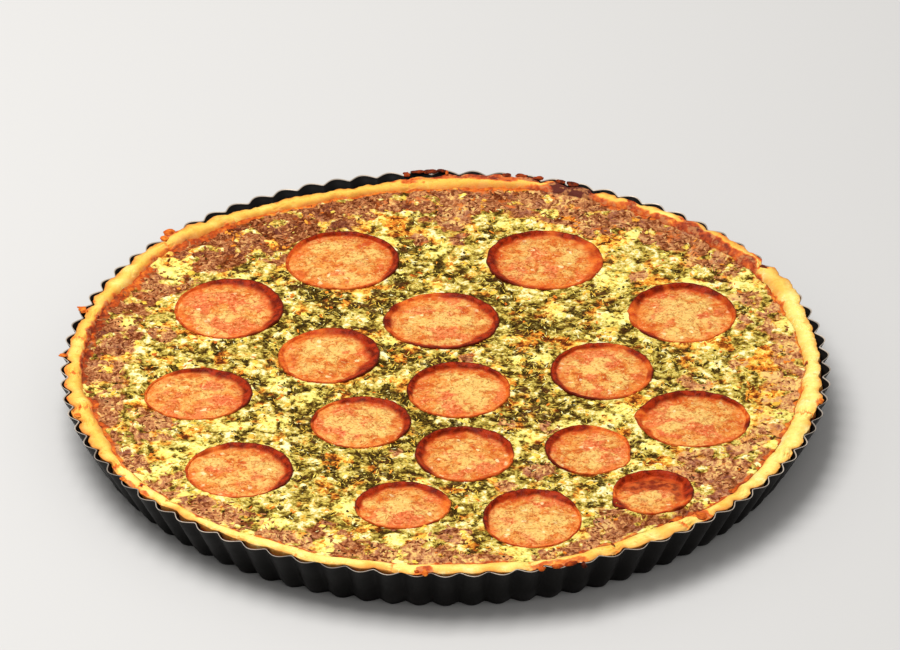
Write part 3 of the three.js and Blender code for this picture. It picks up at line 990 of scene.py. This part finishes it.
# Browned in from the crust and in single patches, and less where there are holes or pale cheese
browning_edge = round_rim(browning_starts, turns) * mm
ragged_edge = from_middle - browning_edge + 8 * mm * lumps(spots, 15 * mm, 8.0)
browned = swell(ragged_edge + 4.5 * mm * lumps(spots, 6 * mm, 12.0), -3 * mm, 4 * mm)
in_patches = near(spots, browned_patches) + 0.5 * lumps(spots, 7 * mm, 31.0)
browned = np.maximum(browned, swell(in_patches, 0.3, 0.7))
holes = lumps(spots, 6 * mm, 15.0) + 0.5 * lumps(spots, 3 * mm, 16.0)
browned *= 1 - 0.8 * swell(holes, 0.05, 0.4)
pale = swell(near(spots, pale_patches) + 0.5 * lumps(spots, 5 * mm, 41.0), 0.25, 0.85)
tongues = sum(
    hill(turns + 0.03 * lumps(spots, 4 * mm, 43.0), where, spread)
    * swell(from_middle, (start - 1.5) * mm, (start + 1.5) * mm)
    for where, spread, start in pale_tongues
)
pale = np.maximum(pale, swell(tongues + 0.6 * lumps(spots, 3 * mm, 45.0), 0.2, 0.9))
browned *= 1 - np.maximum(0.85 * pale, 0.8 * cling)
scorched = round_rim(scorching, turns) + 0.3 * lumps(spots, 14 * mm, 81.0)
browned *= 0.85 + 0.15 * swell(scorched, 0.1, 0.6)
# Specks of orange fat, more toward the crust, and clumps of herbs, more toward the middle
outer_part = swell(from_middle, 75 * mm, 115 * mm)
freckles = 0.6 * lumps(spots, 4.5 * mm, 51.0) + 0.4 * lumps(spots, 2.2 * mm, 52.0)
orange = swell(near(spots, orange_patches) + freckles + 0.12 * outer_part, 0.37, 0.72)
herb_share = 0.06 - 0.36 * outer_part + 0.5 * near(spots, herb_patches)
clumps = 0.75 * lumps(spots, 4.8 * mm, 61.0) + 0.55 * lumps(spots, 2.3 * mm, 62.0)
clumps += 0.5 * lumps(spots, 13 * mm, 63.0)
herby = swell(clumps + 0.6 * herb_share, 0.1, 0.42)
herby *= (1 - 0.95 * pale) * (1 - 0.55 * orange) * (1 - 0.8 * browned) * (1 - 0.6 * cling)
# The dark hem along the crust
edge_width = round_rim(edge_widths, turns) * mm * (1 + 0.6 * lumps(spots, 5 * mm, 71.0))
hem = swell(to_pale + 1.4 * mm * lumps(spots, 2.4 * mm, 72.0), edge_width + mm, edge_width - mm)
hem *= 1 - 0.9 * pale

# Light curds and dark hollows between them, in three sizes. Raised curds are painted lighter and
# hollows darker, partly their own colour and partly painted light and shade.
tone = 0.5 * lumps(spots, 9 * mm, 2.0) + 0.75 * lumps(spots, 4.2 * mm, 4.0)
tone += 0.6 * lumps(spots, 2.1 * mm, 6.0)
tone = (tone - tone.mean()) / tone.std()
tone += 0.2 * swell(from_middle, 50 * mm, 100 * mm) + 0.9 * pale + 0.8 * cling - 1.2 * herby
relief = 0.17 * np.clip(tone, -2.2, 2.2) + 0.1 * lumps(spots, 1.5 * mm, 9.0) - 0.1 * browned
# The top bakes in low swells, and runs up to the crust's brim
level = filling_level + filling_swell * (
    np.sin(x / 19 + 1) * np.cos(y / 23) + 0.6 * np.sin(x / 31 - y / 17)
)
at_brim = swell(to_crust, 5 * mm, 0)
brim_level = round_rim(brim, turns) - 0.1 * mm
level = level * (1 - at_brim) + brim_level * at_brim
level = level * (1 - beside_slice) + (slice_rim - 0.45 * mm) * beside_slice
level += relief * mm * (1 - 0.6 * np.maximum(cling, beside_slice)) + 0.3 * mm * cling
level = np.minimum(level, pocket)
spots[:, 2] = level

# The side slopes in under the crust to a flat foot
outer_count = 6 * plate_rings
outer_start = len(spots) - outer_count
rim_spots = spots[outer_start:]
foot_ways = rim_spots[:, :2] / np.hypot(rim_spots[:, 0], rim_spots[:, 1])[:, None]
foot = np.column_stack([foot_ways * foot_radius, np.full(outer_count, filling_foot)])
all_points = np.concatenate([spots, foot, [[0, 0, filling_foot]]])
filling_faces = disc_faces + hoop(len(spots), outer_start, outer_count)
filling_faces += lid(len(spots), len(all_points) - 1, outer_count, facing_up=False)
unseen = len(all_points) - len(spots)
open_top = (slice_gap > clear_of_slice) & (to_crust > clear_of_crust)
paint = {
    "tone": 0.5 + tone / 7.5,
    "browned": browned,
    "pale": np.maximum(pale, 0.8 * cling),
    "orange": orange,
    "herby": herby,
    "hem": hem,
    "edge_dark": round_rim(edge_darkness, turns),
    "scorched": scorched,
    "glow": round_rim(glows, turns),
    "herb_places": open_top * herby * swell(to_crust, mm, 6 * mm),
    "curd_places": open_top * swell(tone, 0.5, 1.6) * (1 - browned) * (1 - hem) * (1 - 0.8 * pale),
    "shred_places": open_top * (0.3 + 0.7 * herby) * (1 - browned) * swell(to_crust, mm, 6 * mm),
    "brown_places": open_top * browned * (1 - 0.7 * hem) * (0.3 + 0.7 * swell(scorched, 0.1, 0.6)),
    "orange_places": open_top * (0.05 + 0.95 * orange) * (1 - 0.7 * browned),
}

custard, egg = new_finish("set_egg_and_cheese")
place = egg.coordinates()
bent = egg.wavering(place, 420.0, 2.4 * mm)
curds = egg.noise(bent, 1.7 * mm, detail=2.5, roughness=0.6)
specks = egg.noise(place, 0.7 * mm, roughness=0.6)
drifts = egg.noise(bent, 5 * mm)
# Lightness follows the height of the top: partly the curds' and herbs' colour, partly painted light
# and shade
lightness = egg.painted("tone") + 0.9 * (curds - 0.5) + 1.0 * (specks - 0.5)
# The palest stop of the first ramp is near white: pale cheese, and partly painted glints
greenish = egg.ramp(
    lightness, (0.2, 58, 36, 1), (0.32, 102, 76, 16), (0.43, 148, 124, 44), (0.53, 197, 173, 77),
    (0.64, 224, 199, 104), (0.8, 248, 240, 190),
)
orangish = egg.ramp(
    lightness, (0.2, 92, 36, 2), (0.32, 146, 70, 14), (0.43, 196, 112, 30), (0.53, 228, 152, 50),
    (0.64, 244, 190, 74), (0.8, 252, 226, 116),
)
warm = egg.rise(drifts + 0.3 * egg.painted("orange") - 0.12 * egg.painted("herby"), 0.52, 0.65)
set_curds = egg.mix(warm, greenish, orangish)
creaminess = egg.painted("pale") * egg.rise(lightness, 0.38, 0.64)
creamed = egg.mix(creaminess * 0.7, set_curds, shade(252, 236, 122))
herb_shade = egg.ramp(
    specks + 0.6 * (curds - 0.5), (0.36, 36, 20, 0), (0.5, 66, 45, 3), (0.63, 108, 82, 20),
    (0.75, 158, 137, 66),
)
brownish = egg.rise(egg.noise(place, 5 * mm, detail=2), 0.5, 0.6)
brown_herbs = egg.mix(brownish * 0.5, herb_shade, shade(92, 46, 22))
herbage = egg.painted("herby") + 1.3 * (curds - 0.5) - 0.3 * egg.painted("pale")
herbed = egg.mix(egg.rise(herbage, 0.42, 0.68) * 0.85, creamed, brown_herbs)
along = egg.vector("MULTIPLY", bent, (1, 0.34, 1))
strands = egg.noise(along, 0.95 * mm, detail=2.5, roughness=0.55)
dark = egg.painted("scorched")
brown = egg.ramp(
    strands + 0.9 * (drifts - 0.5) + 0.5 * (specks - 0.5) + 0.16 * (0.7 - dark),
    (0.26, 88, 30, 2), (0.37, 122, 59, 22), (0.47, 155, 92, 53), (0.55, 185, 121, 77),
    (0.64, 214, 155, 96), (0.78, 239, 200, 115),
)
purple = egg.rise(egg.noise(place, 3 * mm), 0.5, 0.36) * (0.25 + 0.25 * dark)
purple_shade = egg.mix(egg.rise(dark, 0.1, 1.0), shade(196, 132, 112), shade(112, 60, 48))
greyed = egg.mix(purple, brown, purple_shade)
glow = egg.painted("glow")
glowing = egg.rise(egg.noise(bent, 3.4 * mm, roughness=0.6), 0.54, 0.68)
glow_shade = egg.mix(egg.rise(dark, 0.0, 0.6), shade(244, 166, 72), shade(226, 112, 40))
streaked = egg.mix(glowing * glow * 0.75, greyed, glow_shade)
browned_edge = egg.painted("browned") + 1.1 * (drifts - 0.5) + 1.1 * (curds - 0.5)
gilded = egg.mix(egg.rise(browned_edge, 0.12, 0.5) * (0.3 + 0.5 * glow), herbed, orangish)
browned_top = egg.mix(egg.rise(browned_edge, 0.3, 0.7), gilded, streaked)
edge_tone = egg.painted("edge_dark") + 0.9 * (curds - 0.5) + 0.5 * (strands - 0.5)
at_edge = egg.rise(egg.painted("hem") + 0.8 * (curds - 0.5), 0.3, 0.7)
egg.surface(
    Base_Color=egg.mix(at_edge * 0.9, browned_top, egg.ramp(edge_tone, *burnt_stops)),
    Roughness=0.55 + 0.25 * specks,
    Specular_IOR_Level=0.06,
    Normal=egg.bump(specks + 1.4 * curds, 0.5, 0.45 * mm),
    Subsurface_Weight=0.06,
    Subsurface_Scale=1.0 * mm,
)
set_filling = new_piece("set_filling", all_points, filling_faces, custard, {
    label: np.append(values, np.zeros(unseen)) for label, values in paint.items()
})
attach(set_filling, "root")
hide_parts("filling")


# Bits baked into the top: chopped herbs, curds of cheese and egg, browned shreds of onion and
# small bits of orange sausage. Each kind is scattered by one tree and lies pressed into the top.
bit_inputs = {
    "Places": "String", "Density": "Float", "Smallest": "Vector", "Largest": "Vector",
    "Tilt": "Float", "Lift": "Float", "Raggedness": "Float", "Grain": "Float",
    "Facets": "Int", "Seed": "Int", "Material": "Material",
}
scattering, given = new_tree("scattered_bits", bit_inputs)
places = {"Name": given["Places"]}
dense = scattering.add("GeometryNodeInputNamedAttribute", places, data_type="FLOAT")
dropped = scattering.add("GeometryNodeDistributePointsOnFaces", {
    "Mesh": given["Mesh"], "Density": dense * given["Density"], "Seed": given["Seed"],
})
lift = scattering.vector("SCALE", dropped.other("Normal"), given["Lift"])
sunk = scattering.add("GeometryNodeSetPosition", {"Geometry": dropped, "Offset": lift})


def at_random(low, high, seed, data_type="FLOAT_VECTOR"):
    """A random value for each bit, within limits. The node has its own sockets for each type."""
    first, out = (0, 0) if data_type == "FLOAT_VECTOR" else (2, 1)
    sockets = {first: low, first + 1: high, "Seed": seed}
    return scattering.add("FunctionNodeRandomValue", sockets, out=out, data_type=data_type)


toned = scattering.add("GeometryNodeStoreNamedAttribute", {
    "Geometry": sunk, "Name": "tone", "Value": at_random(0.0, 1.0, 11, "FLOAT"),
}, data_type="FLOAT")
blob = scattering.add("GeometryNodeMeshIcoSphere", {
    "Radius": 1.0, "Subdivisions": given["Facets"],
})
tipped = scattering.add("ShaderNodeCombineXYZ", {
    0: given["Tilt"], 1: given["Tilt"], 2: math.pi,
})
untipped = scattering.vector("SCALE", tipped, -1.0)
turned = scattering.add("FunctionNodeRotateRotation", {
    0: dropped.other("Rotation"), 1: at_random(untipped, tipped, 12),
}, rotation_space="LOCAL")
strewn = scattering.add("GeometryNodeInstanceOnPoints", {
    "Points": toned, "Instance": blob, "Rotation": turned,
    "Scale": at_random(given["Smallest"], given["Largest"], 13),
})
made_real = scattering.add("GeometryNodeRealizeInstances", {"Geometry": strewn})
uneven = scattering.add("ShaderNodeTexNoise", {
    "Vector": scattering.add("GeometryNodeInputPosition"), "Scale": 1 / given["Grain"],
    "Detail": 1.0,
}, out="Color")
centred = scattering.vector("SUBTRACT", uneven, (0.5, 0.5, 0.5))
torn = scattering.vector("SCALE", centred, given["Raggedness"])
ragged = scattering.add("GeometryNodeSetPosition", {"Geometry": made_real, "Offset": torn})
finished = scattering.add("GeometryNodeSetMaterial", {
    "Geometry": ragged, "Material": given["Material"],
})
scattering.add("NodeGroupOutput", {0: finished})


def bit_finish(name, colours, roughness, bump_size, tinge=(160, 90, 40), tinged=0.0):
    """A finish for scattered bits: one tone from a range for each bit, mottled all over."""
    finish, recipe = new_finish(name)
    here = recipe.coordinates()
    mottle = recipe.noise(here, bump_size, detail=2)
    tone = recipe.painted("tone") * 0.8 + 0.8 * (mottle - 0.5) + 0.1
    stops = [(step / (len(colours) - 1), *colour) for step, colour in enumerate(colours)]
    toned = recipe.ramp(tone, *stops)
    clouds = recipe.rise(recipe.noise(here, 5 * mm, detail=2), 0.5, 0.6)
    recipe.surface(
        Base_Color=recipe.mix(clouds * tinged, toned, shade(*tinge)),
        Roughness=roughness + 0.2 * (mottle - 0.5),
        Specular_IOR_Level=0.06,
        Normal=recipe.bump(mottle, 0.4, bump_size / 3),
    )
    return finish


herb_green = bit_finish(
    "chopped_herbs", [(28, 16, 0), (46, 31, 2), (70, 52, 7), (104, 84, 24), (148, 130, 62)],
    0.65, 0.5 * mm, (88, 44, 22), 0.6,
)
# The palest curd colour is near white: pale cheese, and partly painted glints
cheese = bit_finish(
    "cheese_and_egg_curds",
    [(226, 168, 56), (238, 192, 70), (244, 212, 88), (250, 232, 118), (252, 250, 206)],
    0.55, 0.9 * mm,
)
onion_brown = bit_finish(
    "browned_onion",
    [(84, 34, 10), (124, 62, 28), (160, 94, 54), (192, 126, 78), (226, 168, 100)],
    0.7, 0.8 * mm,
)
paprika = bit_finish(
    "orange_bits", [(190, 84, 22), (226, 122, 34), (246, 152, 46), (252, 184, 70)], 0.5, 0.6 * mm
)
# For each kind, values in the order of the tree's inputs: how many on a square metre, lengths in
# mm and the tilt in radians
bits = {
    "cheese_shreds": ("shred_places", 260000.0, (0.5, 0.12, 0.1), (1.7, 0.24, 0.2),
                      0.3, 0.12, 0.9, 1.2, 1, 2, cheese),
    "herb_flecks": ("herb_places", 900000.0, (0.3, 0.2, 0.1), (1.0, 0.6, 0.22),
                    0.4, 0.0, 0.9, 0.8, 1, 3, herb_green),
    "cheese_curds": ("curd_places", 170000.0, (0.5, 0.4, 0.16), (1.8, 1.3, 0.36),
                     0.35, -0.08, 1.2, 1.1, 2, 5, cheese),
    "browned_shreds": ("brown_places", 420000.0, (0.22, 0.6, 0.12), (0.6, 2.0, 0.3),
                       0.25, 0.0, 0.9, 0.9, 1, 7, onion_brown),
    "orange_bits": ("orange_places", 130000.0, (0.5, 0.3, 0.15), (1.7, 0.8, 0.4),
                    0.4, 0.0, 0.8, 0.8, 1, 9, paprika),
}
for name, values in bits.items():
    sizes = dict(zip(bit_inputs, values))
    for label in ("Lift", "Raggedness", "Grain"):
        sizes[label] *= mm
    for label in ("Smallest", "Largest"):
        sizes[label] = tuple(length * mm for length in sizes[label])
    piece = grow(name, set_filling.data, scattering, sizes)
    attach(piece, "root")
    "sausage" if name == "orange_bits" else "filling"


# Crumbs and drips: filling that boiled over and small torn pieces of crust, burnt on to the rim.
# Where each lies, in degrees round the rim and mm from the middle, its half length along the rim,
# half width and half height in mm, and how light it is, from burnt black to orange
crumbs = [
    (137, 139.2, 2.2, 1.7, 0.7, 0.7), (138.8, 137.8, 1.8, 1.5, 0.7, 0.85),
    (162.6, 139.2, 1.3, 1.8, 0.5, 0.75), (163.2, 137.8, 1.3, 1.3, 0.5, 0.8),
    (176.2, 139.2, 1.0, 1.8, 0.5, 0.75), (96.0, 137.3, 1.4, 1.5, 0.4, 0.35),
    (90.6, 139.0, 2.4, 1.0, 0.4, 0.1), (92.3, 138.6, 2.4, 1.4, 0.4, 0.16),
    (94.2, 138.9, 2.4, 1.1, 0.4, 0.2), (89.8, 137.7, 0.6, 1.6, 0.4, 0.55),
    (267, 138.7, 1.3, 1.6, 0.6, 0.75), (265.8, 138.0, 0.9, 0.9, 0.5, 0.5),
    (290.4, 141.4, 1.0, 1.9, 0.8, 0.03), (288.8, 138.9, 2.4, 1.4, 0.7, 0.4),
    (286.6, 139.1, 1.9, 1.3, 0.6, 0.55), (284.2, 139.0, 1.7, 1.1, 0.6, 0.65),
    (75.5, 138.2, 1.9, 1.3, 0.35, 0.35), (78.2, 138.4, 2.2, 1.4, 0.35, 0.3),
    (80.6, 138.2, 1.5, 1.2, 0.3, 0.25), (70, 137.9, 2.4, 1.5, 0.4, 0.12),
    (72, 138.2, 1.8, 1.2, 0.35, 0.2), (309.6, 130.3, 1.2, 0.9, 0.6, 0.02),
    (310.9, 129.8, 1.0, 0.9, 0.6, 0.06), (308.2, 130.6, 0.8, 0.6, 0.5, 0.08),
    (1.7, 131.6, 0.7, 0.5, 0.3, 0.3), (31, 136.4, 1.8, 1.1, 0.4, 0.15),
    (296.7, 133, 0.4, 1.2, 0.3, 0.2), (312.5, 135.5, 1.9, 2.2, 0.5, 0.65),
    (350.5, 137.8, 1.7, 1.1, 0.5, 0.85), (213, 137.8, 1.6, 1.0, 0.4, 0.8),
    (193.5, 136.5, 1.5, 1.2, 0.4, 0.9),
]
burnt_bits = bit_finish(
    "burnt_crumbs", [(40, 16, 8), (104, 36, 12), (168, 66, 20), (216, 108, 34), (242, 158, 60)],
    0.6, 0.8 * mm,
)
ball = bmesh.new()
bmesh.ops.create_icosphere(ball, subdivisions=3, radius=1)
ball_points = np.array([vertex.co for vertex in ball.verts])
ball_faces = np.array([[vertex.index for vertex in face.verts] for face in ball.faces])
ball.free()
rim_top = case_rings[bottom_rows:bottom_rows + rise_steps + 1].reshape(-1, 3)
crumb_points, crumb_faces, crumb_tones = [], [], []
for number, (where, out_at, long, wide, high, light) in enumerate(crumbs):
    outwards = np.array([math.cos(math.radians(where)), math.sin(math.radians(where)), 0])
    along = np.array([-outwards[1], outwards[0], 0])
    middle = out_at * mm * outwards
    nearest = np.argmin(np.hypot(rim_top[:, 0] - middle[0], rim_top[:, 1] - middle[1]))
    middle[2] = rim_top[nearest, 2] + 0.1 * high * mm
    # Those that reach the metal's edge lie on top of it
    if out_at * mm > rim_radius - flute_depth:
        middle[2] = max(middle[2], tin_height + 0.4 * high * mm)
    torn = 1 + 0.5 * lumps(ball_points, 0.9, 3.7 * number)[:, None]
    shape = ball_points * torn * np.array([long, wide, high]) * mm
    crumb_faces.append(ball_faces + number * len(ball_points))
    crumb_points.append(
        middle + shape[:, :1] * along + shape[:, 1:2] * outwards + shape[:, 2:] * [0, 0, 1]
    )
    crumb_tones.append(light + 0.15 * lumps(ball_points, 0.7, 1.3 * number))
rim_crumbs = new_piece(
    "rim_crumbs", np.concatenate(crumb_points), np.concatenate(crumb_faces).tolist(),
    burnt_bits, {"tone": np.concatenate(crumb_tones)},
)
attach(rim_crumbs, "root")


# Floor and light: a pale plain floor under soft studio light. The stronger lamp hangs overhead
# to the left, a weaker one stands in front on the right, and a white room lights the rest.
floor_half = 3.0
floor_corners = floor_half * np.array([(-1, -1, 0), (1, -1, 0), (1, 1, 0), (-1, 1, 0)])
floor_finish, ground = new_finish("pale_floor")
ground.surface(Base_Color=shade(205, 203, 200), Roughness=0.8)
floor = new_piece("floor", floor_corners, [(0, 1, 2, 3)], floor_finish, {})


def soft_lamp(name, place, size, watts):
    """A square soft lamp that faces the tart."""
    lamp = bpy.data.lights.new(name, "AREA")
    lamp.size = size
    lamp.energy = watts
    holder = bpy.data.objects.new(name, lamp)
    holder.location = place
    aim = -np.array(place) / np.linalg.norm(place)
    holder.rotation_euler = (math.acos(-aim[2]), 0, math.atan2(-aim[0], aim[1]) + math.pi)
    scene.collection.objects.link(holder)


soft_lamp("key_light", place=(-0.5, 0.1, 1.5), size=1.1, watts=30)
soft_lamp("front_fill", place=(0.6, -1.1, 1.3), size=1.4, watts=12.3)
world = bpy.data.worlds.new("studio")
scene.world = world
world.use_nodes = True
sky = world.node_tree.nodes["Background"].inputs
sky["Color"].default_value = (1, 1, 1, 1)
sky["Strength"].default_value = 0.44
scene.view_settings.view_transform = "Standard"
